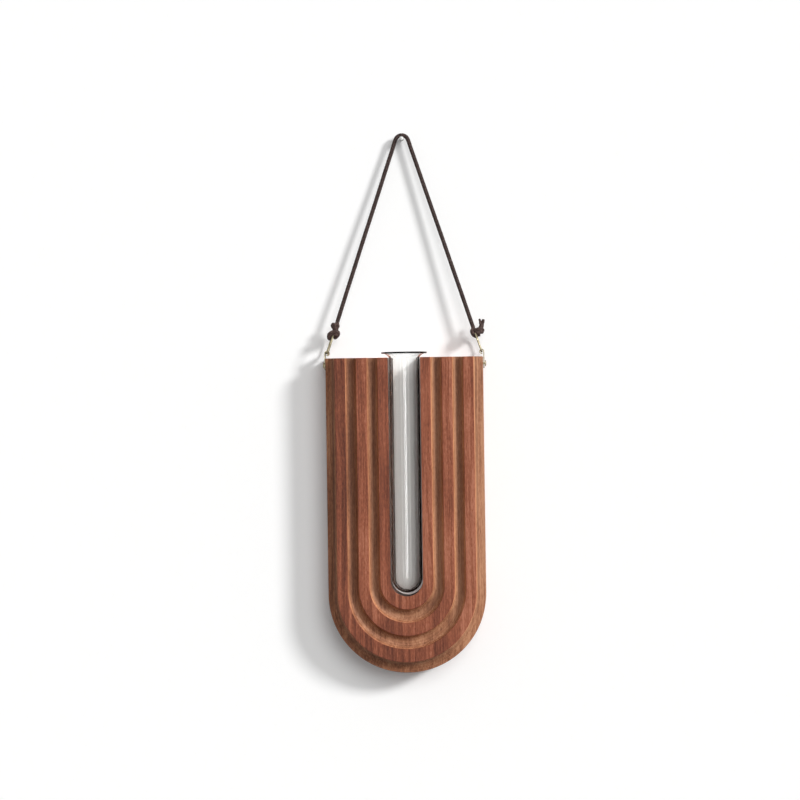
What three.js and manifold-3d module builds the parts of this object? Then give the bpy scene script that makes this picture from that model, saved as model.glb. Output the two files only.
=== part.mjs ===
// Wooden wall vase: a grooved walnut board with a slot, a flared glass tube hung in the slot,
// and a leather cord tied to a small brass ring on each side of the board.
//
// Millimetres, +Z up. The vase hangs on a wall at the plane y = 0 and faces -Y. The origin is the
// point of that wall level with the underside of the cord's bend, which is what a nail holds.

import * as THREE from 'three';
import { mergeVertices } from 'three/addons/utils/BufferGeometryUtils.js';
import Module from 'manifold-3d';

const wasm = await Module();
wasm.setup();

// Gap between pieces that touch
const TOUCH_GAP = 0.3;

// Glass tube
const TUBE_LENGTH = 153;
const TUBE_DIAMETER = 19.6;
const TUBE_WALL = 1.2;
const LIP_DIAMETER = 29.4;
const FLARE_HEIGHT = 4.2;

// Board, whose outline follows from the tube, the ridges and the grooves
const BOARD_THICKNESS = 24;
const HANG_DROP = 140.8;
const SLOT_SIDE_CLEARANCE = 0.1;
const SLOT_FOOT_CLEARANCE = 1.9;
const RIDGE_COUNT = 3;
const RIDGE_WIDTH = 6.6;
const RIDGE_FOOT_WIDTH = 8.3;
const GROOVE_WIDTH = 7.0;
const GROOVE_FOOT_WIDTH = 8.4;
const GROOVE_DEPTH = 3.7;
const EDGE_COVE_WIDTH = 6.0;
const EDGE_COVE_FOOT_WIDTH = 7.0;
const EDGE_COVE_DEPTH = 5.7;

// Brass hangers on the side faces
const HANGER_FROM_BACK = 9;
const PLATE_WIDTH = 7;
const PLATE_THICKNESS = 0.6;
const PLATE_DROP = 7.4;
const PLATE_CORNER_RADIUS = 2.4;
const KNUCKLE_RISE = 3.25;
const KNUCKLE_CURL_DEGREES = 285;

const RING_WIRE_DIAMETER = 1.2;
const RING_PLAY = 0.4;
const RING_WIDTH = 12;
const RING_REACH = 13;
const RING_CORNER_RADIUS = 1.6;
const RING_SEAM = 0.3;
const RING_LEAN_DEGREES = 18.6;
const LEFT_RING_SKEW_DEGREES = 6;
const RIGHT_RING_SKEW_DEGREES = 0;

const SCREW_DROP = 4.3;
const SCREW_SHANK_DIAMETER = 2.0;
const SCREW_LENGTH = 10;
const SCREW_TIP_LENGTH = 2.4;
const SCREW_HEAD_DIAMETER = 4.0;
const SCREW_HEAD_HEIGHT = 0.9;
const SCREW_HEAD_RIM = 0.3;
const SCREW_CROSS_WIDTH = 0.6;
const SCREW_CROSS_LENGTH = 2.4;
const SCREW_CROSS_DEPTH = 0.5;

// Leather cord
const CORD_DIAMETER = 2.6;

// The cord's centre line from the left knot, over the nail, to the right knot
const CORD_ROUTE = [
  [-42.5, -9.0, -117.6],
  [-40.4, -8.7, -111.1],
  [-36.6, -8.2, -99.5],
  [-31.5, -7.5, -84.2],
  [-25.8, -6.8, -66.9],
  [-20.0, -6.1, -49.7],
  [-14.2, -5.3, -32.3],
  [-9.1, -4.7, -16.9],
  [-5.9, -4.3, -7.4],
  [-3.98, -4.1, -1.56],
  [-3.1, -4.0, -0.07],
  [-1.69, -4.0, 0.94],
  [0, -4.0, 1.3],
  [1.69, -4.0, 0.94],
  [3.1, -4.0, -0.07],
  [3.98, -4.1, -1.56],
  [5.9, -4.3, -7.4],
  [9.1, -4.7, -16.9],
  [14.2, -5.3, -32.3],
  [20.0, -6.0, -49.7],
  [25.8, -6.8, -66.9],
  [31.5, -7.6, -84.2],
  [36.6, -8.3, -99.5],
  [40.4, -8.8, -111.1],
  [43.6, -9.1, -120.9],
];

// Facets
const ARC_STEPS = 40;
const COVE_STEPS = 8;
const EDGE_COVE_STEPS = 5;
const TUBE_SIDES = 32;
const FLARE_STEPS = 8;
const LIP_STEPS = 4;
const BULB_STEPS = 8;
const CORD_STEPS = 112;
const CORD_SIDES = 8;
const RING_STEPS = 44;
const RING_SIDES = 8;
const RING_CORNER_STEPS = 3;
const RING_END_STEPS = 12;
const SCREW_SIDES = 16;
const SCREW_DOME_STEPS = 4;
const KNOT_SIDES = 14;
const CURVE_STEPS = 12;

// Sizes that follow from those above
const tubeRadius = TUBE_DIAMETER / 2;
const lipRadius = LIP_DIAMETER / 2;
const tubeY = -(lipRadius + TOUCH_GAP);
const seatRadius = tubeRadius + SLOT_SIDE_CLEARANCE;
const slotHalf = seatRadius + TOUCH_GAP;
const grooveCount = RIDGE_COUNT - 1;
const boardHalf = slotHalf + RIDGE_COUNT * RIDGE_WIDTH + grooveCount * GROOVE_WIDTH + EDGE_COVE_WIDTH;
const slotFoot = RIDGE_COUNT * RIDGE_FOOT_WIDTH + grooveCount * GROOVE_FOOT_WIDTH + EDGE_COVE_FOOT_WIDTH;
const boardTop = -HANG_DROP;
const frontY = -BOARD_THICKNESS;

const ringWireRadius = RING_WIRE_DIAMETER / 2;
const boreRadius = ringWireRadius + RING_PLAY;
const knuckleRadius = boreRadius + PLATE_THICKNESS;
const hangerY = -HANGER_FROM_BACK;
const pivotX = boardHalf + TOUCH_GAP - boreRadius;
const pivotZ = boardTop + KNUCKLE_RISE;
const screwHoleRadius = SCREW_SHANK_DIAMETER / 2 + TOUCH_GAP;
const plateOuterX = boardHalf + TOUCH_GAP + PLATE_THICKNESS;

const materials = {
  walnut: new THREE.MeshStandardMaterial({ name: 'walnut', color: 0x8a5440, roughness: 0.6 }),
  glass: new THREE.MeshStandardMaterial({ name: 'glass', color: 0xdfe8e6, roughness: 0.05 }),
  brass: new THREE.MeshStandardMaterial({
    name: 'brass',
    color: 0xc8a860,
    roughness: 0.3,
    metalness: 1,
  }),
  leather: new THREE.MeshStandardMaterial({ name: 'leather', color: 0x3a2622, roughness: 0.75 }),
};

// A closed geometry as a solid that can be joined and cut
function toSolid(geometry) {
  const bare = geometry.clone();
  bare.deleteAttribute('normal');
  bare.deleteAttribute('uv');
  const merged = mergeVertices(bare, 1e-5);
  return new wasm.Manifold(
    new wasm.Mesh({
      numProp: 3,
      vertProperties: new Float32Array(merged.attributes.position.array),
      triVerts: new Uint32Array(merged.index.array),
    }),
  );
}

function toGeometry(solid) {
  const mesh = solid.getMesh();
  const geometry = new THREE.BufferGeometry();
  geometry.setAttribute('position', new THREE.BufferAttribute(mesh.vertProperties, 3));
  geometry.setIndex(new THREE.BufferAttribute(mesh.triVerts, 1));
  geometry.computeVertexNormals();
  return geometry;
}

function namedMesh(name, geometry, material) {
  const mesh = new THREE.Mesh(geometry, material);
  mesh.name = name;
  return mesh;
}

function circleShape(radius, sides) {
  const points = [];
  for (let i = 0; i < sides; i++) {
    const angle = ((i + 0.5) / sides) * 2 * Math.PI;
    points.push(new THREE.Vector2(radius * Math.cos(angle), radius * Math.sin(angle)));
  }
  return new THREE.Shape(points);
}

function tubeAlong(path, radius, sides, steps) {
  return new THREE.ExtrudeGeometry(circleShape(radius, sides), { steps, extrudePath: path });
}

// The middle of the flare's wall, from the straight tube at angle 0 to the lip at a quarter turn.
// The tube stands on its own origin, the outside of its round foot.
function flareAt(angle) {
  const halfWall = TUBE_WALL / 2;
  const reach = lipRadius - tubeRadius;
  const rise = FLARE_HEIGHT - halfWall;
  const radius = tubeRadius - halfWall + reach * (1 - Math.cos(angle));
  const height = TUBE_LENGTH - FLARE_HEIGHT + rise * Math.sin(angle);
  const normal = new THREE.Vector2(rise * Math.cos(angle), -reach * Math.sin(angle)).normalize();
  return { centre: new THREE.Vector2(radius, height), normal };
}

function tubeProfile() {
  const halfWall = TUBE_WALL / 2;
  const outer = [];
  const inner = [];
  for (let i = 0; i <= BULB_STEPS; i++) {
    const angle = (i / BULB_STEPS) * (Math.PI / 2);
    const along = new THREE.Vector2(Math.sin(angle), -Math.cos(angle));
    outer.push(new THREE.Vector2(tubeRadius * along.x, tubeRadius + tubeRadius * along.y));
    const innerRadius = tubeRadius - TUBE_WALL;
    inner.push(new THREE.Vector2(innerRadius * along.x, tubeRadius + innerRadius * along.y));
  }
  for (let i = 0; i <= FLARE_STEPS; i++) {
    const { centre, normal } = flareAt((i / FLARE_STEPS) * (Math.PI / 2));
    outer.push(centre.clone().addScaledVector(normal, halfWall));
    inner.push(centre.clone().addScaledVector(normal, -halfWall));
  }
  const rimCentre = flareAt(Math.PI / 2).centre;
  const rim = [];
  for (let i = 1; i < LIP_STEPS; i++) {
    const angle = Math.PI * (i / LIP_STEPS - 0.5);
    const radius = rimCentre.x + halfWall * Math.cos(angle);
    rim.push(new THREE.Vector2(radius, rimCentre.y + halfWall * Math.sin(angle)));
  }
  outer[0].x = 0;
  inner[0].x = 0;
  return { outer, points: [...outer, ...rim, ...inner.reverse()] };
}

// Height on the tube at which its outside is as wide as the slot lets it sink
function seatHeight(outer) {
  for (let i = 1; i < outer.length; i++) {
    const low = outer[i - 1];
    const high = outer[i];
    if (low.x <= seatRadius && high.x > seatRadius) {
      return low.y + ((high.y - low.y) * (seatRadius - low.x)) / (high.x - low.x);
    }
  }
  return outer[outer.length - 1].y;
}

const profile = tubeProfile();
const hangingLength = seatHeight(profile.outer);
const slotDepth = hangingLength + SLOT_FOOT_CLEARANCE;
const boardFoot = boardTop - slotDepth - slotFoot;

function makeTube() {
  const geometry = new THREE.LatheGeometry(profile.points, TUBE_SIDES);
  geometry.rotateX(Math.PI / 2);
  const tube = namedMesh('glass_tube', geometry, materials.glass);
  tube.position.set(0, tubeY, boardTop - hangingLength);
  return tube;
}

// Columns of the board's section, from the slot's back edge round the front to the outer back edge.
// Each has its half width, its height above the board's foot at the centre, and its depth.
function boardColumns() {
  const columns = [];
  let half = slotHalf;
  let foot = slotFoot;
  const add = (y) => columns.push({ half, foot, y });
  const addCove = (width, footWidth, depth, steps, endAngle) => {
    const startHalf = half;
    const startFoot = foot;
    const span = 1 - Math.cos(endAngle);
    for (let i = 1; i <= steps; i++) {
      const angle = (i / steps) * endAngle;
      const share = (1 - Math.cos(angle)) / span;
      half = startHalf + width * share;
      foot = startFoot - footWidth * share;
      add(i === steps && endAngle === Math.PI ? frontY : frontY + depth * Math.sin(angle));
    }
  };
  add(0);
  add(frontY);
  for (let ridge = 1; ridge <= RIDGE_COUNT; ridge++) {
    half += RIDGE_WIDTH;
    foot -= RIDGE_FOOT_WIDTH;
    add(frontY);
    if (ridge < RIDGE_COUNT) {
      addCove(GROOVE_WIDTH, GROOVE_FOOT_WIDTH, GROOVE_DEPTH, COVE_STEPS, Math.PI);
    }
  }
  addCove(EDGE_COVE_WIDTH, EDGE_COVE_FOOT_WIDTH, EDGE_COVE_DEPTH, EDGE_COVE_STEPS, Math.PI / 2);
  add(0);
  return columns;
}

// Every column runs down the left side, round its own half circle and up the right side
function boardStations(column) {
  const centreZ = boardFoot + column.foot + column.half;
  const stations = [[-column.half, column.y, boardTop]];
  for (let i = 0; i <= ARC_STEPS; i++) {
    const angle = Math.PI * (1 + i / ARC_STEPS);
    stations.push([
      column.half * Math.cos(angle),
      column.y,
      centreZ + column.half * Math.sin(angle),
    ]);
  }
  stations.push([column.half, column.y, boardTop]);
  return stations;
}

function boardGeometry() {
  const columns = boardColumns();
  const runs = columns.map(boardStations);
  const stationCount = runs[0].length;
  const positions = runs.flat(2);
  const vertex = (column, station) => (column % columns.length) * stationCount + station;
  const index = [];
  for (let c = 0; c < columns.length; c++) {
    for (let s = 0; s < stationCount - 1; s++) {
      const a = vertex(c, s);
      const b = vertex(c, s + 1);
      const d = vertex(c + 1, s);
      const e = vertex(c + 1, s + 1);
      index.push(a, e, b, a, d, e);
    }
  }
  const section = columns.map((column) => new THREE.Vector2(column.half, column.y));
  for (const [i, j, k] of THREE.ShapeUtils.triangulateShape(section, [])) {
    index.push(vertex(k, 0), vertex(j, 0), vertex(i, 0));
    const last = stationCount - 1;
    index.push(vertex(i, last), vertex(j, last), vertex(k, last));
  }
  const geometry = new THREE.BufferGeometry();
  geometry.setAttribute('position', new THREE.Float32BufferAttribute(positions, 3));
  geometry.setIndex(index);
  return geometry;
}

function makeBoard() {
  let solid = toSolid(boardGeometry());
  const depth = SCREW_LENGTH + TOUCH_GAP;
  for (const side of [-1, 1]) {
    const hole = new THREE.CylinderGeometry(screwHoleRadius, screwHoleRadius, 2 * depth, SCREW_SIDES);
    hole.rotateZ(Math.PI / 2);
    hole.translate(side * boardHalf, hangerY, boardTop - SCREW_DROP);
    solid = solid.subtract(toSolid(hole));
  }
  return namedMesh('wood_board', toGeometry(solid), materials.walnut);
}

// The hanger pieces are built for the right side, with x pointing away from the board, and turned
// half round for the left side

function plateGeometry() {
  const inner = TOUCH_GAP;
  const outer = TOUCH_GAP + PLATE_THICKNESS;
  const centreX = inner - boreRadius;
  const curlEnd = THREE.MathUtils.degToRad(KNUCKLE_CURL_DEGREES);
  const side = new THREE.Shape();
  side.moveTo(inner, -PLATE_DROP);
  side.lineTo(outer, -PLATE_DROP);
  side.lineTo(outer, KNUCKLE_RISE);
  side.absarc(centreX, KNUCKLE_RISE, knuckleRadius, 0, curlEnd, false);
  side.absarc(centreX, KNUCKLE_RISE, boreRadius, curlEnd, 0, true);
  const strap = new THREE.ExtrudeGeometry(side, {
    depth: PLATE_WIDTH,
    bevelEnabled: false,
    curveSegments: 2 * CURVE_STEPS,
  });
  strap.rotateX(Math.PI / 2);
  strap.translate(0, PLATE_WIDTH / 2, 0);

  const half = PLATE_WIDTH / 2;
  const top = KNUCKLE_RISE + 2 * knuckleRadius;
  const corner = Math.min(PLATE_CORNER_RADIUS, half);
  const face = new THREE.Shape();
  face.moveTo(-half + corner, -PLATE_DROP);
  face.lineTo(half - corner, -PLATE_DROP);
  face.absarc(half - corner, corner - PLATE_DROP, corner, -Math.PI / 2, 0, false);
  face.lineTo(half, top);
  face.lineTo(-half, top);
  face.absarc(-half + corner, corner - PLATE_DROP, corner, Math.PI, 1.5 * Math.PI, false);
  const reach = outer - centreX + knuckleRadius;
  const blank = new THREE.ExtrudeGeometry(face, {
    depth: 2 * reach,
    bevelEnabled: false,
    curveSegments: CURVE_STEPS / 2,
  });
  blank.translate(0, 0, -reach);
  blank.rotateX(Math.PI / 2);
  blank.rotateZ(Math.PI / 2);

  const hole = new THREE.CylinderGeometry(screwHoleRadius, screwHoleRadius, 2 * reach, SCREW_SIDES);
  hole.rotateZ(Math.PI / 2);
  hole.translate(0, 0, -SCREW_DROP);
  return toGeometry(toSolid(strap).intersect(toSolid(blank)).subtract(toSolid(hole)));
}

function screwGeometry() {
  const headRadius = SCREW_HEAD_DIAMETER / 2;
  const shankRadius = SCREW_SHANK_DIAMETER / 2;
  const seat = plateOuterX - boardHalf + TOUCH_GAP;
  const dome = SCREW_HEAD_HEIGHT - SCREW_HEAD_RIM;
  const outline = [
    new THREE.Vector2(0, seat - SCREW_LENGTH),
    new THREE.Vector2(shankRadius, seat - SCREW_LENGTH + SCREW_TIP_LENGTH),
    new THREE.Vector2(shankRadius, seat),
    new THREE.Vector2(headRadius, seat),
  ];
  for (let i = 0; i < SCREW_DOME_STEPS; i++) {
    const angle = (i / SCREW_DOME_STEPS) * (Math.PI / 2);
    const height = seat + SCREW_HEAD_RIM + dome * Math.sin(angle);
    outline.push(new THREE.Vector2(headRadius * Math.cos(angle), height));
  }
  outline.push(new THREE.Vector2(0, seat + SCREW_HEAD_HEIGHT));
  const turned = new THREE.LatheGeometry(outline, SCREW_SIDES);
  let solid = toSolid(turned);
  for (const turn of [0, Math.PI / 2]) {
    const slot = new THREE.BoxGeometry(SCREW_CROSS_LENGTH, 2 * SCREW_CROSS_DEPTH, SCREW_CROSS_WIDTH);
    slot.rotateY(turn);
    slot.translate(0, seat + SCREW_HEAD_HEIGHT, 0);
    solid = solid.subtract(toSolid(slot));
  }
  const geometry = toGeometry(solid);
  geometry.rotateZ(-Math.PI / 2);
  return geometry;
}

// A ring bent from wire, with its straight bar along y through the origin, its butt seam in the
// middle of that bar, and its round end up
function ringPath() {
  const half = RING_WIDTH / 2;
  const corner = RING_CORNER_RADIUS;
  const shoulder = RING_REACH - half;
  const points = [];
  const add = (y, z) => points.push(new THREE.Vector3(0, y, z));
  const addArc = (centreY, centreZ, radius, from, to, steps) => {
    for (let i = 0; i <= steps; i++) {
      const angle = THREE.MathUtils.degToRad(from + ((to - from) * i) / steps);
      add(centreY + radius * Math.cos(angle), centreZ + radius * Math.sin(angle));
    }
  };
  add(RING_SEAM / 2, 0);
  add((half - corner) / 2, 0);
  addArc(half - corner, corner, corner, -90, 0, RING_CORNER_STEPS);
  add(half, (corner + shoulder) / 2);
  addArc(0, shoulder, half, 0, 180, RING_END_STEPS);
  add(-half, (corner + shoulder) / 2);
  addArc(corner - half, corner, corner, 180, 270, RING_CORNER_STEPS);
  add((corner - half) / 2, 0);
  add(-RING_SEAM / 2, 0);
  return new THREE.CatmullRomCurve3(points);
}

// A lump of a knot, placed and sized in cord diameters
function lumpSolid(x, y, z, radiusX, radiusY, radiusZ) {
  const geometry = new THREE.SphereGeometry(CORD_DIAMETER, KNOT_SIDES, KNOT_SIDES / 2);
  geometry.scale(radiusX, radiusY, radiusZ);
  geometry.translate(x * CORD_DIAMETER, y * CORD_DIAMETER, z * CORD_DIAMETER);
  return toSolid(geometry);
}

// A round strand from one point to another
function strandSolid(from, to, radius) {
  const length = from.distanceTo(to);
  const geometry = new THREE.CylinderGeometry(radius, radius, length, CORD_SIDES);
  geometry.translate(0, length / 2, 0);
  const along = new THREE.Vector3().subVectors(to, from).normalize();
  const turn = new THREE.Quaternion().setFromUnitVectors(new THREE.Vector3(0, 1, 0), along);
  geometry.applyQuaternion(turn);
  geometry.translate(from.x, from.y, from.z);
  return toSolid(geometry);
}

// What each knot is made of, in cord diameters from the middle of the ring's round end, x to the
// right of the board and z up: lumps as centre and radii, loose ends as two points and a radius
const KNOTS = {
  left: {
    lumps: [
      [0, 0, 0, 1.05, 1.5, 1.05],
      [-0.8, 0, -0.45, 0.85, 1.5, 1.05],
      [0.75, 0, 0.15, 0.92, 1.45, 0.85],
      [0.5, 0, 1.7, 1.02, 1.15, 1.15],
    ],
    ends: [],
  },
  right: {
    lumps: [
      [0.3, 0, 0, 1.0, 1.4, 1.0],
      [-0.3, -0.1, -0.45, 0.9, 1.45, 1.1],
      [1.25, 0, 0.3, 1.05, 1.45, 0.9],
    ],
    ends: [
      [[1.45, -0.25, 0.9], [1.7, -0.2, 1.95], 0.6],
      [[1.7, -0.2, 1.8], [2.15, -0.2, 3.1], 0.42],
      [[1.6, -0.12, 1.8], [1.12, 0.04, 3.2], 0.36],
    ],
  },
};

// The knot is tied round the ring's round end, and its neck reaches up to the end of the cord
function knotGeometry(name, ringGroup, cordEnd) {
  const centre = new THREE.Vector3(0, 0, RING_REACH).applyMatrix4(ringGroup.matrixWorld);
  const toCord = new THREE.Vector3().subVectors(cordEnd, centre);
  const neckEnd = toCord.clone().setLength(toCord.length() - TOUCH_GAP);
  let solid = strandSolid(new THREE.Vector3(), neckEnd, CORD_DIAMETER / 2);
  for (const lump of KNOTS[name].lumps) {
    solid = solid.add(lumpSolid(...lump));
  }
  for (const [from, to, radius] of KNOTS[name].ends) {
    const start = new THREE.Vector3(...from).multiplyScalar(CORD_DIAMETER);
    const tip = new THREE.Vector3(...to).multiplyScalar(CORD_DIAMETER);
    solid = solid.add(strandSolid(start, tip, radius * CORD_DIAMETER));
  }
  const wire = tubeAlong(ringPath(), ringWireRadius + TOUCH_GAP, RING_SIDES, RING_STEPS);
  wire.applyMatrix4(ringGroup.matrixWorld);
  wire.translate(-centre.x, -centre.y, -centre.z);
  const geometry = toGeometry(solid.subtract(toSolid(wire)));
  geometry.translate(centre.x, centre.y, centre.z);
  return geometry;
}

function makeHanger(name, side, skewDegrees, cordEnd) {
  const group = new THREE.Group();
  const fixed = new THREE.Group();
  fixed.position.set(side * boardHalf, hangerY, boardTop);
  fixed.rotation.z = side > 0 ? 0 : Math.PI;
  fixed.add(namedMesh(`${name}_hanger_plate`, plateGeometry(), materials.brass));
  const screw = namedMesh(`${name}_plate_screw`, screwGeometry(), materials.brass);
  screw.position.z = -SCREW_DROP;
  fixed.add(screw);
  group.add(fixed);

  const swing = new THREE.Group();
  swing.position.set(side * pivotX, hangerY, pivotZ);
  swing.rotation.y = -side * THREE.MathUtils.degToRad(RING_LEAN_DEGREES);
  const twist = new THREE.Group();
  twist.rotation.z = THREE.MathUtils.degToRad(skewDegrees);
  const ring = tubeAlong(ringPath(), ringWireRadius, RING_SIDES, RING_STEPS);
  twist.add(namedMesh(`${name}_d_ring`, ring, materials.brass));
  swing.add(twist);
  swing.updateMatrixWorld(true);

  const knot = knotGeometry(name, twist, cordEnd);
  group.add(swing, namedMesh(`${name}_knot`, knot, materials.leather));
  return group;
}

function makeCord(points) {
  const path = new THREE.CatmullRomCurve3(points);
  const geometry = tubeAlong(path, CORD_DIAMETER / 2, CORD_SIDES, CORD_STEPS);
  return namedMesh('hanging_cord', geometry, materials.leather);
}

const cordPoints = CORD_ROUTE.map((point) => new THREE.Vector3(...point));
const vase = new THREE.Group();
vase.add(makeBoard());
vase.add(makeTube());
vase.add(makeHanger('left', -1, LEFT_RING_SKEW_DEGREES, cordPoints[0]));
vase.add(makeHanger('right', 1, RIGHT_RING_SKEW_DEGREES, cordPoints[cordPoints.length - 1]));
vase.add(makeCord(cordPoints));

export default vase;
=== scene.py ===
"""Wooden wall vase: a grooved board with a slot, a flared glass tube and a leather hanging cord.

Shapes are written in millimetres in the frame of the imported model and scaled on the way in: the
wall is the plane y = 0, the vase faces -Y, and the cord's bend hangs at the origin. The cord's
route, the camera, the wall and the floor are in metres.
"""

import math

import bpy
from mathutils import Matrix, Vector, noise


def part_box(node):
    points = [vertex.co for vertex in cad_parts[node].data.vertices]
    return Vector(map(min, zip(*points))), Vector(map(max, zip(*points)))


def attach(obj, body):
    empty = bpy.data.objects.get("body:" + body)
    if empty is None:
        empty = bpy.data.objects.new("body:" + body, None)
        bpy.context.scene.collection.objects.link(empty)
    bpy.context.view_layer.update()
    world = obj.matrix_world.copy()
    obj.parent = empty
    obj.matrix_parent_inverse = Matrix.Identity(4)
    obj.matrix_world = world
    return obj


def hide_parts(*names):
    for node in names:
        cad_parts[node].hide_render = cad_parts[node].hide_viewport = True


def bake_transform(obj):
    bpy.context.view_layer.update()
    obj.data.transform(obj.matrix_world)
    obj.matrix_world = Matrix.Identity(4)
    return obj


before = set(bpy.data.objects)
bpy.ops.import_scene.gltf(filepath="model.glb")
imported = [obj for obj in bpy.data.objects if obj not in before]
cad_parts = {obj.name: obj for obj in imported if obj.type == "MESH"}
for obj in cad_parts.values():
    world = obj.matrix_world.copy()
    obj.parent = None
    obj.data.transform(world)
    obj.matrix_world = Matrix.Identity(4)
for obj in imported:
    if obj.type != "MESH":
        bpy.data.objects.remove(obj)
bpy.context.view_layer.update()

MM = 0.001
FULL_TURN = 2 * math.pi
HALF_TURN = math.pi
QUARTER_TURN = math.pi / 2

# Board
BOARD_FRONT = -24.0
BOARD_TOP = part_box("wood_board")[1][2] / MM
BOARD_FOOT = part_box("wood_board")[0][2] / MM
BOARD_HALF = 50.0
FOOT_CENTRE = BOARD_FOOT + BOARD_HALF
FOOT_STEPS = 120
SLOT_HALF = 10.2
SLOT_FOOT = 48.7
RIDGE_COUNT = 3
RIDGE_WIDTH = 6.6
RIDGE_FOOT_WIDTH = 8.3
GROOVE_WIDTH = 7.0
GROOVE_FOOT_WIDTH = 8.4
GROOVE_DEPTH = 3.7
GROOVE_STEPS = 18
EDGE_COVE_WIDTH = 6.0
EDGE_COVE_FOOT_WIDTH = 7.0
EDGE_COVE_DEPTH = 5.7
EDGE_COVE_STEPS = 9
ARRIS = 0.35

# Glass tube
TUBE_Y = -15.0
TUBE_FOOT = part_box("glass_tube")[0][2] / MM
TUBE_LENGTH = 153.0
TUBE_RADIUS = 9.8
TUBE_WALL = 1.2
TUBE_SIDES = 128
LIP_RADIUS = 14.7
FLARE_HEIGHT = 4.2
FLARE_STEPS = 24
RIM_STEPS = 8

# Brass hangers
SIDES = {"left": -1, "right": 1}
HANGER_Y = -9.0
GAP = 0.3
PLATE_THICKNESS = 0.6
PLATE_HALF = 3.5
PLATE_DROP = 7.4
PLATE_CORNER = 2.4
PLATE_CORNER_STEPS = 8
PLATE_ARRIS = 0.14
KNUCKLE_RISE = 3.25
KNUCKLE_CURL = math.radians(285)
KNUCKLE_STEPS = 40
BORE_RADIUS = 1.0
HOLE_RADIUS = 1.3
HOLE_SIDES = 32
DRILL_REACH = 4
RING_HALF = 6.0
RING_REACH = 13.0
RING_CORNER = 1.6
RING_CORNER_STEPS = 3
RING_ROUND_STEPS = 12
RING_STEP = 0.35
RING_WIRE = 0.6
RING_SIDES = 20
RING_SEAM = 0.3
RING_LEAN = math.radians(18.6)
RING_SKEW = {"left": math.radians(6), "right": 0.0}

# Plate screws
SCREW_DROP = 4.3
SCREW_SEAT = 2 * GAP + PLATE_THICKNESS
SCREW_LENGTH = 10.0
SCREW_TIP = 2.4
SCREW_NECK = 0.8
SCREW_SIDES = 32
SCREW_STEP = 0.06
SHANK_RADIUS = 1.0
THREAD_PITCH = 0.9
THREAD_CORE = 0.72
HEAD_RADIUS = 2.0
HEAD_RIM = 0.3
HEAD_DOME = 0.6
HEAD_STEPS = 8
RECESS_HALVES = (1.2, 0.3, 0.5)

# Leather cord: diameter and route, in metres
CORD_DIAMETER = 0.0026
CORD_ROUTE = [
    (-0.0425, -0.0090, -0.1176),
    (-0.0404, -0.0087, -0.1111),
    (-0.0366, -0.0082, -0.0995),
    (-0.0315, -0.0075, -0.0842),
    (-0.0258, -0.0068, -0.0669),
    (-0.0200, -0.0061, -0.0497),
    (-0.0142, -0.0053, -0.0323),
    (-0.0091, -0.0047, -0.0169),
    (-0.0059, -0.0043, -0.0074),
    (-0.00398, -0.0041, -0.00156),
    (-0.0031, -0.0040, -0.00007),
    (-0.00169, -0.0040, 0.00094),
    (0.0, -0.0040, 0.0013),
    (0.00169, -0.0040, 0.00094),
    (0.0031, -0.0040, -0.00007),
    (0.00398, -0.0041, -0.00156),
    (0.0059, -0.0043, -0.0074),
    (0.0091, -0.0047, -0.0169),
    (0.0142, -0.0053, -0.0323),
    (0.0200, -0.0060, -0.0497),
    (0.0258, -0.0068, -0.0669),
    (0.0315, -0.0076, -0.0842),
    (0.0366, -0.0083, -0.0995),
    (0.0404, -0.0088, -0.1111),
    (0.0436, -0.0091, -0.1209),
]
CORD_APEX = 12
CORD_SPAN_STEPS = 24
CORD_STEP = 0.6
CORD_SIDES = 20
CORD_UNEVENNESS = 0.05
CORD_LUMPS = 0.55
CORD_FADE_STEPS = 6

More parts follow.
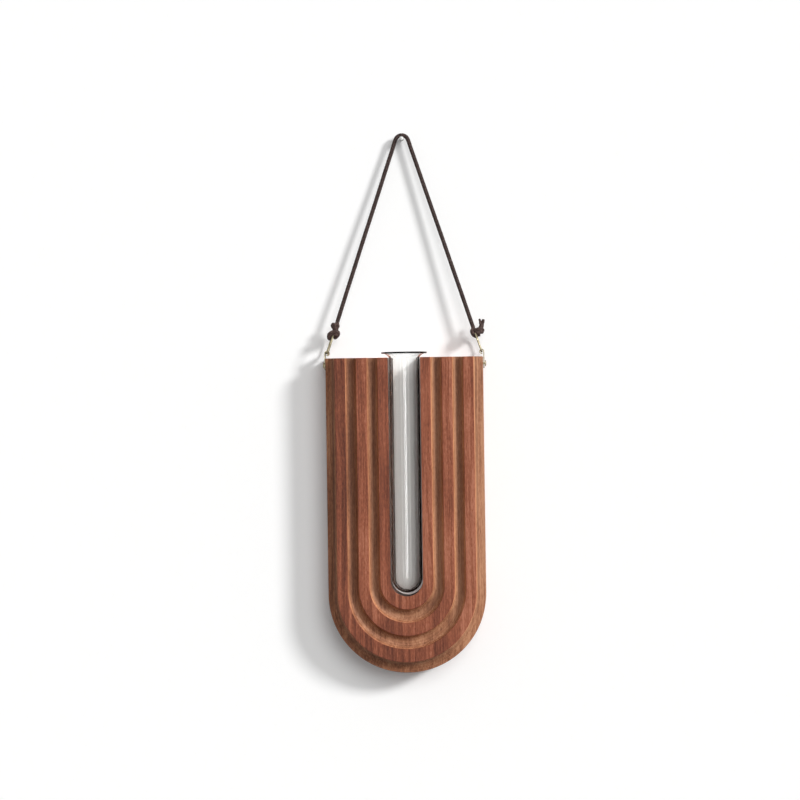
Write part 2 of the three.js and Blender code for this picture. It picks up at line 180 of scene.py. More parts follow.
# Strands of each knot: the radius at the start and at the end, whether the strand closes on itself,
# and its points, from the middle of the ring's round end
KNOTS = {
    "left": [
        (1.35, 1.7, False, [(2.55, 0, 7.6), (2.3, 0, 5.8), (1.5, 0.1, 3.6), (0.6, 0.1, 1.2)]),
        (1.35, 1.35, True, [
            (2.6, -0.6, 5.9), (1.3, -1.8, 5.7), (0.0, -0.9, 6.0),
            (-0.1, 0.9, 4.9), (1.2, 1.8, 4.3), (2.6, 1.0, 4.7),
        ]),
        (1.2, 1.3, False, [(-0.1, -0.8, 4.4), (1.3, -1.9, 3.7), (2.8, -0.8, 3.6)]),
        (1.3, 1.3, True, [
            (-2.6, -2.0, -2.4), (-2.5, -2.9, -0.4), (-0.6, -3.1, 1.0), (1.5, -3.0, 1.3),
            (3.0, -1.8, 1.1), (2.9, -0.7, -0.5), (1.2, -0.4, -2.2), (2.8, 1.0, -0.3),
            (1.2, 2.8, 1.1), (-1.4, 2.7, 0.4), (-2.7, 1.4, -1.4), (-2.3, -0.4, -2.8),
        ]),
        (2.3, 1.9, False, [(-1.8, -0.4, -1.3), (0.3, -0.5, 0.2), (2.2, 0, 0.6)]),
        (1.1, 1.1, False, [
            (-2.4, -2.0, -1.2), (-0.5, -2.7, -0.7), (1.6, -2.5, -0.3), (2.7, -1.2, -0.4),
        ]),
    ],
    "right": [
        (1.3, 1.3, False, [
            (-1.45, -0.1, 4.3), (-1.1, -0.7, 2.4), (-1.8, -1.8, 0.4), (-1.1, -2.7, -1.5),
            (0.5, -1.8, -2.6), (1.0, 0.9, -2.3), (0.2, 2.4, -0.8), (-1.2, 2.2, 0.6),
        ]),
        (1.3, 1.3, True, [
            (-1.0, -0.6, 0.9), (0.6, -2.4, 1.2), (2.6, -2.9, 1.7), (4.5, -1.6, 1.5),
            (4.7, 0.6, 0.9), (2.6, 2.5, 0.7), (-0.2, 2.6, 0.9), (-1.4, 1.0, 0.9),
        ]),
        (1.3, 1.3, False, [(0.3, -2.5, -0.7), (2.2, -2.8, -0.3), (4.2, -1.7, 0.1), (4.4, 0.4, 0.1)]),
        (2.2, 1.9, False, [(-0.8, -0.4, -0.9), (1.0, 0, 0.2), (3.0, 0, 0.7)]),
        (1.5, 1.55, False, [(3.4, -1.0, 2.2), (4.1, -0.7, 3.4), (4.4, -0.5, 5.0)]),
        (1.3, 0.85, False, [(4.5, -0.5, 4.8), (5.2, -0.5, 6.6), (5.6, -0.5, 8.1)]),
        (1.2, 0.6, False, [(4.1, -0.3, 4.8), (3.4, -0.1, 6.8), (2.9, 0.1, 8.4)]),
        (0.9, 0.6, False, [(3.7, -0.5, 5.3), (2.8, -0.6, 6.0)]),
        (0.7, 0.5, False, [(2.6, -0.9, -1.0), (3.0, -0.9, -2.8)]),
        (1.1, 1.1, False, [
            (-1.6, -2.0, -1.3), (0.2, -2.6, -1.2), (1.8, -2.4, -1.1), (3.0, -1.6, -0.6),
        ]),
    ],
}
KNOT_STEP = 0.3
KNOT_SIDES = 16
KNOT_UNEVENNESS = 0.06
KNOT_LUMPS = 0.8
KNOT_VOXEL = 0.16
KNOT_EASE = 0.5
KNOT_EASE_ROUNDS = 3

# Wood: how far the grain sways, how much it is drawn out, and the pores' cells for each millimetre
GRAIN_SWAY = 7
GRAIN_STRETCH = 0.02
PORE_CELLS = (2.4, 2.4, 0.17)
PORE_RADIUS = 0.30
PORE_DARKNESS = 0.55
CELLS_WITHOUT_PORE = 0.35
# How much each kind of mark makes the wood darker or paler
FINE_MARKS = 0.07
BAND_MARKS = 0.08
FLECK_MARKS = 0.12
PATCH_MARKS = 0.09
CUTTER_MARKS = 0.09
# Tone at the two ends of its range: of the streaks, from left to right, and upward from the foot
STREAK_TONE = (0.09, 0.91)
RIGHTWARD_TONE = (-0.02, 0.14)
UPWARD_TONE = (-0.07, 0.01)
TONE_RUN = 20.0
# Wood colours from the darkest grain to the palest: on the flats, and in the routed coves
FLAT_TONES = [
    (0.30, (0.088, 0.030, 0.020)),
    (0.47, (0.192, 0.060, 0.034)),
    (0.60, (0.288, 0.092, 0.050)),
    (0.75, (0.425, 0.164, 0.098)),
]
COVE_TONES = [
    (0.30, (0.150, 0.060, 0.033)),
    (0.47, (0.275, 0.116, 0.062)),
    (0.60, (0.372, 0.168, 0.090)),
    (0.75, (0.490, 0.246, 0.138)),
]
# Painted highlight: gain on the coves' colour near their brink, where the light catches the edges
BRINK_HIGHLIGHT_GAIN = (1.50, 1.44, 1.32, 1)
# Painted shade: dark colour laid deep in the grooves, where their own walls shade them
GROOVE_SHADE_TONE = (0.070, 0.030, 0.020, 1)
# Painted shade: near black on the slot's sides and round foot
SLOT_SHADE_TONE = (0.030, 0.018, 0.014, 1)
PORE_TONE = (0.060, 0.020, 0.014, 1)
# Depths behind the board's front between which each zone comes or goes: the coves, the painted highlight
# at their brink, the painted shade deep in the grooves and the painted shade in the slot
COVE_BEGINS = (0.15, 1.0)
COVE_ENDS = (6.0, 7.4)
BRINK_HIGHLIGHT_ENDS = (1.2, 2.6)
GROOVE_SHADE_BEGINS = (2.5, 3.5)
GROOVE_SHADE_THINS = (3.7, 4.7)
GROOVE_SHADE_MOST = 0.48
GROOVE_SHADE_LEFT_DEEP = 0.3
GROOVE_SHADE_LEFT_AT_FOOT = 0.1
SLOT_SHADE_BEGINS = (0.4, 1.2)
SLOT_SHADE_MOST = 0.95
SLOT_SHADE_MARGIN = 0.2

# Other colours
LEATHER_TONES = [
    (0.30, (0.008, 0.004, 0.003)),
    (0.48, (0.022, 0.010, 0.008)),
    (0.62, (0.048, 0.025, 0.020)),
    (0.78, (0.110, 0.066, 0.056)),
]
# Knots paler than the cord: partly wear, partly a painted highlight where their lumps catch the light
KNOT_WEAR_AND_HIGHLIGHT = 0.12
FIBRE_MARKS = 0.08
BRASS_TONES = [
    (0.32, (0.140, 0.120, 0.074)),
    (0.50, (0.275, 0.240, 0.155)),
    (0.70, (0.390, 0.350, 0.245)),
]
STEEL_TONES = [
    (0.3, (0.16, 0.16, 0.16)),
    (0.7, (0.42, 0.42, 0.41)),
]
GLASS_TINT = (0.985, 0.995, 0.99, 1)
GLASS_SHADOW = (0.96, 0.93, 0.915, 1)
GLASS_INDEX = 1.47
WHITE = (1, 1, 1, 1)

# Nearly all values of a noise texture lie between these two
NOISE_LOW = 0.3
NOISE_HIGH = 0.7

# Camera
CAMERA_TARGET = Vector((-0.00266, -0.024, -0.1678))
CAMERA_DISTANCE = 2.0
CAMERA_AZIMUTH = math.radians(2.0)
CAMERA_ROLL = math.radians(0.8)
CAMERA_LENS = 142.3
CAMERA_SENSOR = 36
CAMERA_NEAR = 0.05

# Lamps: strength, angle across, and the direction that the light comes from
LAMPS = {
    "key": (2.67, math.radians(11), Vector((0.736, -0.541, 0.406))),
    "fill": (1.15, math.radians(38), Vector((0.304, -0.876, 0.375))),
    "behind": (1.6, math.radians(12), Vector((-0.3, 0.72, 0.62))),
}
AMBIENT_BELOW = 0.02
AMBIENT_ABOVE = 0.42
# Upright lamps seen only in glass and metal: azimuth, half width, strength
STRIPS = [
    (math.radians(7.7), math.radians(2.8), 14.0),
    (math.radians(34.0), math.radians(4.0), 1.4),
]
STRIP_HALF_HEIGHT = math.radians(10.0)

# Stage
WALL_Y = 0.0008
WALL_HALF = 1.6
WALL_TOP = 1.1
WALL_PAINT = (0.90, 0.90, 0.895)
WALL_GLOW = 0.11
WALL_CLEARS_WITHIN = 0.003
FLOOR_Z = -0.62
FLOOR_HALF = 2.0
FLOOR_FRONT = -3.0
FLOOR_BACK = 2.5
FLOOR_PAINT = (0.9, 0.9, 0.89)
PAINT_MOTTLE = 0.985
# Nail: radius and distance out from the plane y = 0, up to the middle of its head
NAIL_PROFILE = [
    (0, 0),
    (1.1, 0),
    (1.1, 6.2),
    (1.6, 6.4),
    (1.7, 6.9),
    (1.4, 7.3),
    (0.7, 7.5),
    (0, 7.55),
]
NAIL_SIDES = 32
NAIL_Z = -1.15


# Mesh tools

# Times between which the points of each level of a spline lie
SPLINE_LEVELS = (((0, 1), (1, 2), (2, 3)), ((0, 2), (1, 3)), ((1, 2),))


def spline(points, closed=False, per_span=8):
    """Points along a centripetal Catmull-Rom curve through the given points."""
    points = [Vector(point) for point in points]
    if closed:
        padded = [points[-1]] + points + points[:2]
    else:
        padded = [2 * points[0] - points[1]] + points + [2 * points[-1] - points[-2]]
    curve = []
    for i in range(len(padded) - 3):
        near = padded[i : i + 4]
        times = [0.0]
        for a, b in zip(near, near[1:]):
            times.append(times[-1] + math.sqrt((b - a).length))
        for step in range(per_span):
            time = times[1] + (times[2] - times[1]) * step / per_span
            level = near
            for ends in SPLINE_LEVELS:
                level = [
                    a.lerp(b, (time - times[start]) / (times[end] - times[start]))
                    for a, b, (start, end) in zip(level, level[1:], ends)
                ]
            curve += level
    if not closed:
        curve.append(points[-1])
    return curve


def resample(curve, step):
    """The curve's points again, an even step apart, with both ends kept."""
    lengths = [0.0]
    for a, b in zip(curve, curve[1:]):
        lengths.append(lengths[-1] + (b - a).length)
    count = max(2, round(lengths[-1] / step))
    even = []
    k = 0
    for i in range(count + 1):
        want = lengths[-1] * i / count
        while k < len(curve) - 2 and lengths[k + 1] < want:
            k += 1
        span = lengths[k + 1] - lengths[k]
        even.append(curve[k].lerp(curve[k + 1], (want - lengths[k]) / span))
    return even


def around(sides):
    """Each index round a row, with the one after it."""
    return [(k, (k + 1) % sides) for k in range(sides)]


def sweep(curve, radii, sides, closed=False, first_normal=Vector((0, 1, 0))):
    """Vertices and faces of a round bar along the curve, capped unless it is closed."""
    count = len(curve)
    normal = first_normal
    rings = []
    for i, point in enumerate(curve):
        if closed:
            along = curve[(i + 1) % count] - curve[i - 1]
        else:
            along = curve[min(i + 1, count - 1)] - curve[max(i - 1, 0)]
        along = along.normalized()
        normal = (normal - along * normal.dot(along)).normalized()
        across = along.cross(normal)
        ring = []
        for k in range(sides):
            angle = FULL_TURN * k / sides
            ring.append(point + radii[i] * (normal * math.cos(angle) + across * math.sin(angle)))
        rings.append(ring)
    verts = [v for ring in rings for v in ring]
    faces = []
    shift = 0
    if closed:
        start = rings[0][0] - curve[0]
        angles = [(v - curve[-1]).angle(start) for v in rings[-1]]
        shift = angles.index(min(angles))
    for i in range(count if closed else count - 1):
        j = (i + 1) % count
        turn = shift if j < i else 0
        here, there = i * sides, j * sides
        for k, after in around(sides):
            back = (k - turn) % sides
            back_after = (after - turn) % sides
            faces.append((here + k, here + after, there + back_after, there + back))
    if not closed:
        faces.append(tuple(reversed(range(sides))))
        faces.append(tuple(range((count - 1) * sides, count * sides)))
    return verts, faces


def round_row(radii, z):
    """A row of vertices round the z axis at one height, with a radius for each."""
    row = []
    for k, radius in enumerate(radii):
        angle = FULL_TURN * k / len(radii)
        row.append((radius * math.cos(angle), radius * math.sin(angle), z))
    return row


def quads(rows, sides, first=0):
    """Faces between neighbouring rows of vertices, the first row starting at the first index."""
    faces = []
    for row in range(rows - 1):
        low = first + row * sides
        high = low + sides
        faces += [(low + k, low + after, high + after, high + k) for k, after in around(sides)]
    return faces


def lathe(profile, sides):
    """Vertices and faces of a profile of (radius, height) turned round z; radius 0 is a pole."""
    verts = []
    rows = []
    for radius, height in profile:
        if radius < 1e-6:
            rows.append([len(verts)] * sides)
            verts.append((0, 0, height))
        else:
            rows.append(list(range(len(verts), len(verts) + sides)))
            verts += round_row([radius] * sides, height)
    faces = []
    for low, high in zip(rows, rows[1:]):
        for k, after in around(sides):
            corners = [low[k], low[after], high[after], high[k]]
            face = [c for i, c in enumerate(corners) if c not in corners[:i]]
            if len(face) > 2:
                faces.append(tuple(face))
    return verts, faces


def block(half_x, half_y, half_z):
    """Vertices and faces of a box round the origin."""
    corners = [(x, y) for x in (-half_x, half_x) for y in (-half_y, half_y)]
    verts = [(x, y, z) for x, y in corners for z in (-half_z, half_z)]
    faces = [(0, 1, 3, 2), (4, 6, 7, 5), (0, 4, 5, 1), (2, 3, 7, 6), (0, 2, 6, 4), (1, 5, 7, 3)]
    return verts, faces


def in_millimetres(points):
    """The same points in millimetres, when given in metres."""
    return [[part / MM for part in point] for point in points]


def plain_object(name, verts, faces, place=Matrix.Identity(4)):
    """A mesh object from vertices in millimetres, moved to its place."""
    mesh = bpy.data.meshes.new(name)
    mesh.from_pydata([(place @ Vector(v)) * MM for v in verts], [], faces)
    mesh.validate()
    mesh.update()
    obj = bpy.data.objects.new(name, mesh)
    bpy.context.scene.collection.objects.link(obj)
    return obj


def bake(obj):
    """Make what the modifiers show the piece's own mesh."""
    graph = bpy.context.evaluated_depsgraph_get()
    mesh = bpy.data.meshes.new_from_object(obj.evaluated_get(graph))
    obj.modifiers.clear()
    obj.data = mesh


def cut(obj, tool):
    """Cut the tool's shape out of the object."""
    boolean = obj.modifiers.new("cut", "BOOLEAN")
    boolean.operation = "DIFFERENCE"
    boolean.solver = "EXACT"
    boolean.object = tool
    bake(obj)
    bpy.data.objects.remove(tool)


def round_edges(obj, width, degrees, segments=2):
    """Round the edges that are sharper than an angle."""
    bevel = obj.modifiers.new("edges", "BEVEL")
    bevel.limit_method = "ANGLE"
    bevel.angle_limit = math.radians(degrees)
    bevel.width = width * MM
    bevel.segments = segments
    bevel.harden_normals = True


def shade(obj, material, sharp_degrees=35):
    """Give an object its material and smooth shading up to an angle."""
    for polygon in obj.data.polygons:
        polygon.use_smooth = True
    obj.data.set_sharp_from_angle(angle=math.radians(sharp_degrees))
    obj.data.materials.clear()
    obj.data.materials.append(material)


def dress(obj, material, body, slot, *nodes, sharp_degrees=35):
    """Give a piece its material and the body it rides on, and hide the nodes it stands for. The slot is
    not used.
    """
    shade(obj, material, sharp_degrees)
    if body:
        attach(obj, body)
    if nodes:
        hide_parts(*nodes)
    return obj


# Materials


class Nodes:
    """A node tree: node() adds a node, sets its settings, and fills its inputs."""

    def __init__(self, tree):
        self.tree = tree

    def node(self, kind, inputs=(), **settings):
        made = self.tree.nodes.new("ShaderNode" + kind)
        for key, value in settings.items():
            setattr(made, key, value)
        for key, value in dict(inputs).items():
            self.fill(made.inputs[key], value)
        return made

    def fill(self, socket, value):
        """Link a node's output to the socket, or set the socket's own value."""
        if isinstance(value, bpy.types.NodeSocket):
            self.tree.links.new(value, socket)
        else:
            socket.default_value = value

    def place(self, scale=(1, 1, 1)):
        """Object coordinates in millimetres, stretched by scale."""
        where = self.node("TexCoord").outputs["Object"]
        mapping = self.node("Mapping", {"Vector": where, "Scale": [stretch / MM for stretch in scale]})
        return mapping.outputs["Vector"]

    def noise(self, vector, scale, detail=3.0, roughness=0.5):
        inputs = {"Vector": vector, "Scale": scale, "Detail": detail, "Roughness": roughness}
        return self.node("TexNoise", inputs).outputs["Fac"]

    def cells(self, vector, scale, feature):
        inputs = {"Vector": vector, "Scale": scale}
        return self.node("TexVoronoi", inputs, feature=feature).outputs

    def ramp(self, value, stops):
        """A colour from stops of (position, colour)."""
        made = self.node("ValToRGB", {"Fac": value})
        elements = made.color_ramp.elements
        while len(elements) < len(stops):
            elements.new(0.5)
        for element, (position, colour) in zip(elements, stops):
            element.position = position
            element.color = (*colour, 1.0)
        return made.outputs["Color"]

    def span(self, value, low, high, to_low=0.0, to_high=1.0):
        """A value between low and high, mapped on to another range and held at its ends."""
        inputs = {
            "Value": value,
            "From Min": low,
            "From Max": high,
            "To Min": to_low,
            "To Max": to_high,
        }
        return self.node("MapRange", inputs).outputs["Result"]

    def vary(self, noise_value, low, high):
        """Noise stretched to run from low to high."""
        return self.span(noise_value, NOISE_LOW, NOISE_HIGH, low, high)

    def spread(self, noise_value, amount):
        """Noise stretched to run as far below 0 as above it."""
        return self.vary(noise_value, -amount, amount)

    def math(self, operation, first, second=0.0):
        return self.node("Math", {0: first, 1: second}, operation=operation).outputs["Value"]

    def add(self, first, *others):
        for other in others:
            first = self.math("ADD", first, other)
        return first

    def multiply(self, first, *others):
        for other in others:
            first = self.math("MULTIPLY", first, other)
        return first

    def vector_math(self, operation, first, second):
        return self.node("VectorMath", {0: first, 1: second}, operation=operation).outputs[0]

    def dot(self, vector, direction):
        inputs = {0: vector, 1: direction}
        return self.node("VectorMath", inputs, operation="DOT_PRODUCT").outputs["Value"]

    def apart(self, vector):
        """A vector's three parts."""
        parts = self.node("SeparateXYZ", {0: vector}).outputs
        return parts["X"], parts["Y"], parts["Z"]

    def blend(self, factor, first, second, mode="MIX"):
        """The first colour at a factor of 0, and the second, or both together, at 1."""
        made = self.node("Mix", {0: factor, 6: first, 7: second}, data_type="RGBA", blend_type=mode)
        return made.outputs[2]

    def from_stem(self, across, height, foot):
        """Distance from an upright line at the middle whose round lower end is centred at foot."""
        below = self.math("MINIMUM", self.math("SUBTRACT", height, foot), 0.0)
        return self.math("SQRT", self.add(self.multiply(across, across), self.multiply(below, below)))

    def bump(self, height, strength, distance):
        """Normals of a relief, whose distance is in millimetres."""
        inputs = {"Height": height, "Strength": strength, "Distance": distance * MM}
        return self.node("Bump", inputs).outputs["Normal"]


class Shader(Nodes):
    """A material of nodes round one Principled BSDF."""

    def __init__(self, name):
        self.material = bpy.data.materials.new(name)
        self.material.use_nodes = True
        super().__init__(self.material.node_tree)
        self.surface = self.tree.nodes["Principled BSDF"]
        self.output = self.tree.nodes["Material Output"]

    def set(self, **values):
        """Fill the surface's inputs, with each underscore standing for a space."""
        for key, value in values.items():
            self.fill(self.surface.inputs[key.replace("_", " ")], value)

    def clear_where(self, factor, tint=WHITE):
        """Let light straight through where the factor is 1."""
        clear = self.node("BsdfTransparent", {"Color": tint}).outputs[0]
        mix = self.node("MixShader", {0: factor, 1: self.surface.outputs[0], 2: clear})
        self.fill(self.output.inputs["Surface"], mix.outputs[0])


def wood_grain(nodes):
    """Coordinates drawn out along the grain, which runs upward and sways a little."""
    drift = nodes.node("TexNoise", {"Vector": nodes.place((1, 1, 0.3)), "Scale": 0.03, "Detail": 2.0})
    centred = nodes.vector_math("SUBTRACT", drift.outputs["Color"], (0.5, 0.5, 0.5))
    sway = nodes.vector_math("MULTIPLY", centred, (GRAIN_SWAY, GRAIN_SWAY, 0))
    return nodes.vector_math("ADD", nodes.place((1, 1, GRAIN_STRETCH)), sway)


def wood_figure(nodes, grain, streaks, fine, across, height):
    """How pale the wood is: streaks and smaller marks, and paler to the right and above the foot."""
    bands = nodes.noise(grain, scale=1.0, detail=2.0, roughness=0.6)
    flecks = nodes.noise(nodes.place((1, 1, 0.22)), scale=1.5, detail=3.0, roughness=0.7)
    patches = nodes.noise(nodes.place((1, 1, 0.3)), scale=0.06, detail=2.0, roughness=0.6)
    marks = nodes.add(
        nodes.spread(fine, FINE_MARKS),
        nodes.spread(bands, BAND_MARKS),
        nodes.spread(flecks, FLECK_MARKS),
        nodes.spread(patches, PATCH_MARKS),
    )
    rightward = nodes.span(across, -BOARD_HALF, BOARD_HALF, *RIGHTWARD_TONE)
    upward = nodes.span(height, BOARD_FOOT, FOOT_CENTRE + TONE_RUN, *UPWARD_TONE)
    return nodes.add(nodes.span(streaks, 0.0, 1.0, *STREAK_TONE), marks, nodes.add(rightward, upward))


def zone(nodes, depth, depths, low, high):
    """A factor that goes from low to high between two depths behind the board's front."""
    return nodes.span(depth, BOARD_FRONT + depths[0], BOARD_FRONT + depths[1], low, high)


def with_coves(nodes, figure, across, depth, height):
    """Colour of flats and coves: the coves are paler, with a painted highlight at the brink and painted
    shade deep in.
    """
    flat = nodes.ramp(figure, FLAT_TONES)
    swept = nodes.node("CombineXYZ", {"X": nodes.from_stem(across, height, FOOT_CENTRE), "Y": depth})
    routed = nodes.noise(swept.outputs[0], scale=1.3, detail=3.0, roughness=0.6)
    cove = nodes.ramp(nodes.add(figure, nodes.spread(routed, CUTTER_MARKS)), COVE_TONES)
    into = zone(nodes, depth, COVE_BEGINS, 0.0, 1.0)
    within = zone(nodes, depth, COVE_ENDS, 1.0, 0.0)
    colour = nodes.blend(nodes.multiply(into, within), flat, cove)
    # Painted shade deep in the grooves, with less of it round the foot's arcs
    groove_shade = nodes.multiply(
        within,
        zone(nodes, depth, GROOVE_SHADE_BEGINS, 0.0, GROOVE_SHADE_MOST),
        zone(nodes, depth, GROOVE_SHADE_THINS, 1.0, GROOVE_SHADE_LEFT_DEEP),
        nodes.span(height, FOOT_CENTRE - TONE_RUN, FOOT_CENTRE, GROOVE_SHADE_LEFT_AT_FOOT, 1.0),
    )
    colour = nodes.blend(groove_shade, colour, GROOVE_SHADE_TONE)
    # Painted highlight along the coves' brink
    brink_highlight = nodes.multiply(into, zone(nodes, depth, BRINK_HIGHLIGHT_ENDS, 1.0, 0.0))
    return nodes.blend(brink_highlight, colour, BRINK_HIGHLIGHT_GAIN, "MULTIPLY")


def with_slot_shade(nodes, colour, across, depth, height):
    """The colour, with painted shade, near black, on the slot's sides and round foot."""
    reach = nodes.from_stem(across, height, BOARD_FOOT + SLOT_FOOT + SLOT_HALF)
    in_slot = nodes.math("LESS_THAN", reach, SLOT_HALF + SLOT_SHADE_MARGIN)
    # Painted shade inside the slot, growing from just behind the front
    slot_shade = nodes.multiply(in_slot, zone(nodes, depth, SLOT_SHADE_BEGINS, 0.0, SLOT_SHADE_MOST))
    return nodes.blend(slot_shade, colour, SLOT_SHADE_TONE)


def wood_pores(nodes):
    """Short upright pores, 0 in a pore and 1 outside, in most of the cells that fill the wood."""
    cells = nodes.cells(nodes.place(PORE_CELLS), 1.0, "F1")
    chosen, _, _ = nodes.apart(cells["Color"])
    size = nodes.span(chosen, CELLS_WITHOUT_PORE, 1.0, 0.0, PORE_RADIUS)
    return nodes.span(nodes.math("SUBTRACT", cells["Distance"], size), -0.08, 0.02, 0.0, 1.0)


def wood_material():
    """Reddish brown hardwood with upright grain, short pores and paler routed coves."""
    nodes = Shader("walnut")
    across, depth, height = nodes.apart(nodes.place())
    grain = wood_grain(nodes)
    streaks = nodes.noise(grain, scale=0.32, detail=6.0, roughness=0.66)
    fine = nodes.noise(grain, scale=2.4, detail=3.0, roughness=0.6)
    figure = wood_figure(nodes, grain, streaks, fine, across, height)
    colour = with_coves(nodes, figure, across, depth, height)
    colour = with_slot_shade(nodes, colour, across, depth, height)
    pores = wood_pores(nodes)
    colour = nodes.blend(nodes.span(pores, 0.0, 1.0, PORE_DARKNESS, 0.0), colour, PORE_TONE)
    relief = nodes.add(nodes.multiply(pores, 0.7), nodes.multiply(fine, 0.5))
    nodes.set(
        Base_Color=colour,
        Roughness=nodes.vary(streaks, 0.58, 0.44),
        Normal=nodes.bump(relief, strength=0.5, distance=0.06),
        Specular_IOR_Level=0.12,
    )
    return nodes.material


def leather_material(name, paleness):
    """Dark brown leather lace, mottled, and made paler by the given amount; on the knots this is partly
    wear and partly a painted highlight.
    """
    nodes = Shader(name)
    where = nodes.place()
    mottle = nodes.noise(where, scale=1.1, detail=4.0, roughness=0.6)
    fibre = nodes.noise(where, scale=6.0, detail=4.0, roughness=0.65)
    tone = nodes.add(mottle, nodes.vary(fibre, paleness - FIBRE_MARKS, paleness + FIBRE_MARKS))
    crease = nodes.cells(where, 1.9, "DISTANCE_TO_EDGE")["Distance"]
    relief = nodes.add(nodes.span(crease, 0, 0.16), nodes.multiply(fibre, 0.8))
    nodes.set(
        Base_Color=nodes.ramp(tone, LEATHER_TONES),
        Roughness=nodes.vary(mottle, 0.72, 0.55),
        Normal=nodes.bump(relief, strength=0.6, distance=0.12),
        Specular_IOR_Level=0.3,
    )
    return nodes.material


def brass_material():
    """Pale brass with a little tarnish and fine scratches."""
    nodes = Shader("brass")
    cloud = nodes.noise(nodes.place(), scale=0.5, detail=4.0, roughness=0.6)
    scratch = nodes.noise(nodes.place((6, 6, 0.7)), scale=1.0, detail=2.0, roughness=0.5)
    nodes.set(
        Base_Color=nodes.ramp(cloud, BRASS_TONES),
        Metallic=1.0,
        Roughness=nodes.span(nodes.add(cloud, scratch), 0.7, 1.3, 0.52, 0.38),
        Normal=nodes.bump(scratch, strength=0.25, distance=0.02),
    )
    return nodes.material


def glass_material():
    """Clear drawn glass with faint upright striations; lamps pass through it."""
    nodes = Shader("glass")
    ripple = nodes.noise(nodes.place((1, 1, 0.006)), scale=0.55, detail=2.0, roughness=0.5)
    nodes.set(
        Base_Color=GLASS_TINT,
        Roughness=0.0,
        IOR=GLASS_INDEX,
        Transmission_Weight=1.0,
        Normal=nodes.bump(ripple, strength=0.10, distance=0.02),
    )
    nodes.clear_where(nodes.node("LightPath").outputs["Is Shadow Ray"], GLASS_SHADOW)
    return nodes.material


def steel_material():
    """Dull grey steel for the nail."""
    nodes = Shader("nail_steel")
    cloud = nodes.noise(nodes.place(), scale=0.9)
    nodes.set(
        Base_Color=nodes.ramp(cloud, STEEL_TONES),
        Metallic=1.0,
        Roughness=nodes.vary(cloud, 0.25, 0.4),
    )
    return nodes.material


def paint_shader(name, colour):
    """Matt paint, very faintly mottled."""
    nodes = Shader(name)
    mottle = nodes.vary(nodes.noise(nodes.place(), scale=0.4, detail=4.0), 0.0, 1.0)
    darker = [PAINT_MOTTLE * c for c in colour]
    nodes.set(
        Base_Color=nodes.blend(mottle, (*colour, 1), (*darker, 1)),
        Roughness=0.9,
        Specular_IOR_Level=0.1,
    )
    return nodes


def wall_material():
    """Paint that the eye sees a little brighter, clear from behind and to what lies close to it."""
    nodes = paint_shader("wall_paint", WALL_PAINT)
    rays = nodes.node("LightPath").outputs
    nodes.set(
        Emission_Strength=nodes.multiply(rays["Is Camera Ray"], WALL_GLOW),
        Emission_Color=WHITE,
    )
    behind = nodes.node("NewGeometry").outputs["Backfacing"]
    close = nodes.math("LESS_THAN", rays["Ray Length"], WALL_CLEARS_WITHIN)
    nodes.clear_where(nodes.math("MAXIMUM", behind, close))
    return nodes.material


# Pieces


def make_camera():
    """Stands where the photograph was taken, a little to the right and rolled by under a degree."""
    data = bpy.data.cameras.new("camera")
    data.lens = CAMERA_LENS
    data.sensor_width = CAMERA_SENSOR
    data.clip_start = CAMERA_NEAR
    camera = bpy.data.objects.new("camera", data)
    bpy.context.scene.collection.objects.link(camera)
    back = Vector((math.sin(CAMERA_AZIMUTH), -math.cos(CAMERA_AZIMUTH), 0))
    right = Vector((0, 0, 1)).cross(back).normalized()
    up = back.cross(right)
    turned_right = right * math.cos(CAMERA_ROLL) - up * math.sin(CAMERA_ROLL)
    turned_up = up * math.cos(CAMERA_ROLL) + right * math.sin(CAMERA_ROLL)
    turn = Matrix((turned_right, turned_up, back)).transposed().to_4x4()
    camera.matrix_world = Matrix.Translation(CAMERA_TARGET + back * CAMERA_DISTANCE) @ turn
    bpy.context.scene.camera = camera


def cord_radii(path):
    """The cord's radius at each point, slightly uneven but for the bend, where the halves meet."""
    radius = CORD_DIAMETER / MM / 2
    last = len(path) - 1
    radii = []
    for i, point in enumerate(path):
        fade = min(1, (last - i) / CORD_FADE_STEPS)
        radii.append((1 + CORD_UNEVENNESS * noise.noise(point * CORD_LUMPS) * fade) * radius)
    return radii


def make_cords(leather):
    """The cord in two halves that meet over the nail."""
    whole = spline(in_millimetres(CORD_ROUTE), per_span=CORD_SPAN_STEPS)
    apex = CORD_APEX * CORD_SPAN_STEPS
    curves = {"left": whole[: apex + 1], "right": whole[apex:][::-1]}
    cords = {}
    for name, curve in curves.items():
        path = resample(curve, CORD_STEP)
        cord = plain_object(f"{name}_cord", *sweep(path, cord_radii(path), CORD_SIDES))
        dress(cord, leather, None, "leather", "hanging_cord")
        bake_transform(cord)
        cords[name] = (cord, [point * MM for point in path])
    return cords


def cove_columns(half, foot, width, foot_width, depth, steps, turn):
    """Lines of the board's section through a cove, from a half width and foot height outward."""
    columns = []
    for i in range(1, steps + 1):
        angle = turn * i / steps
        share = (1 - math.cos(angle)) / (1 - math.cos(turn))
        y = BOARD_FRONT + depth * max(0.0, math.sin(angle))
        columns.append((half + width * share, foot - foot_width * share, y))
    return columns


def board_columns():
    """Half width, foot height and depth of each line of the board's section, slot to outside."""
    groove = (GROOVE_WIDTH, GROOVE_FOOT_WIDTH, GROOVE_DEPTH, GROOVE_STEPS, HALF_TURN)
    edge_cove = (EDGE_COVE_WIDTH, EDGE_COVE_FOOT_WIDTH, EDGE_COVE_DEPTH, EDGE_COVE_STEPS, QUARTER_TURN)
    half, foot = SLOT_HALF, SLOT_FOOT
    columns = [(half, foot, 0.0), (half, foot, BOARD_FRONT)]
    for cove in [groove] * (RIDGE_COUNT - 1) + [edge_cove]:
        half += RIDGE_WIDTH
        foot -= RIDGE_FOOT_WIDTH
        columns.append((half, foot, BOARD_FRONT))
        columns += cove_columns(half, foot, *cove)
        half, foot, _ = columns[-1]
    columns.append((half, foot, 0.0))
    return columns


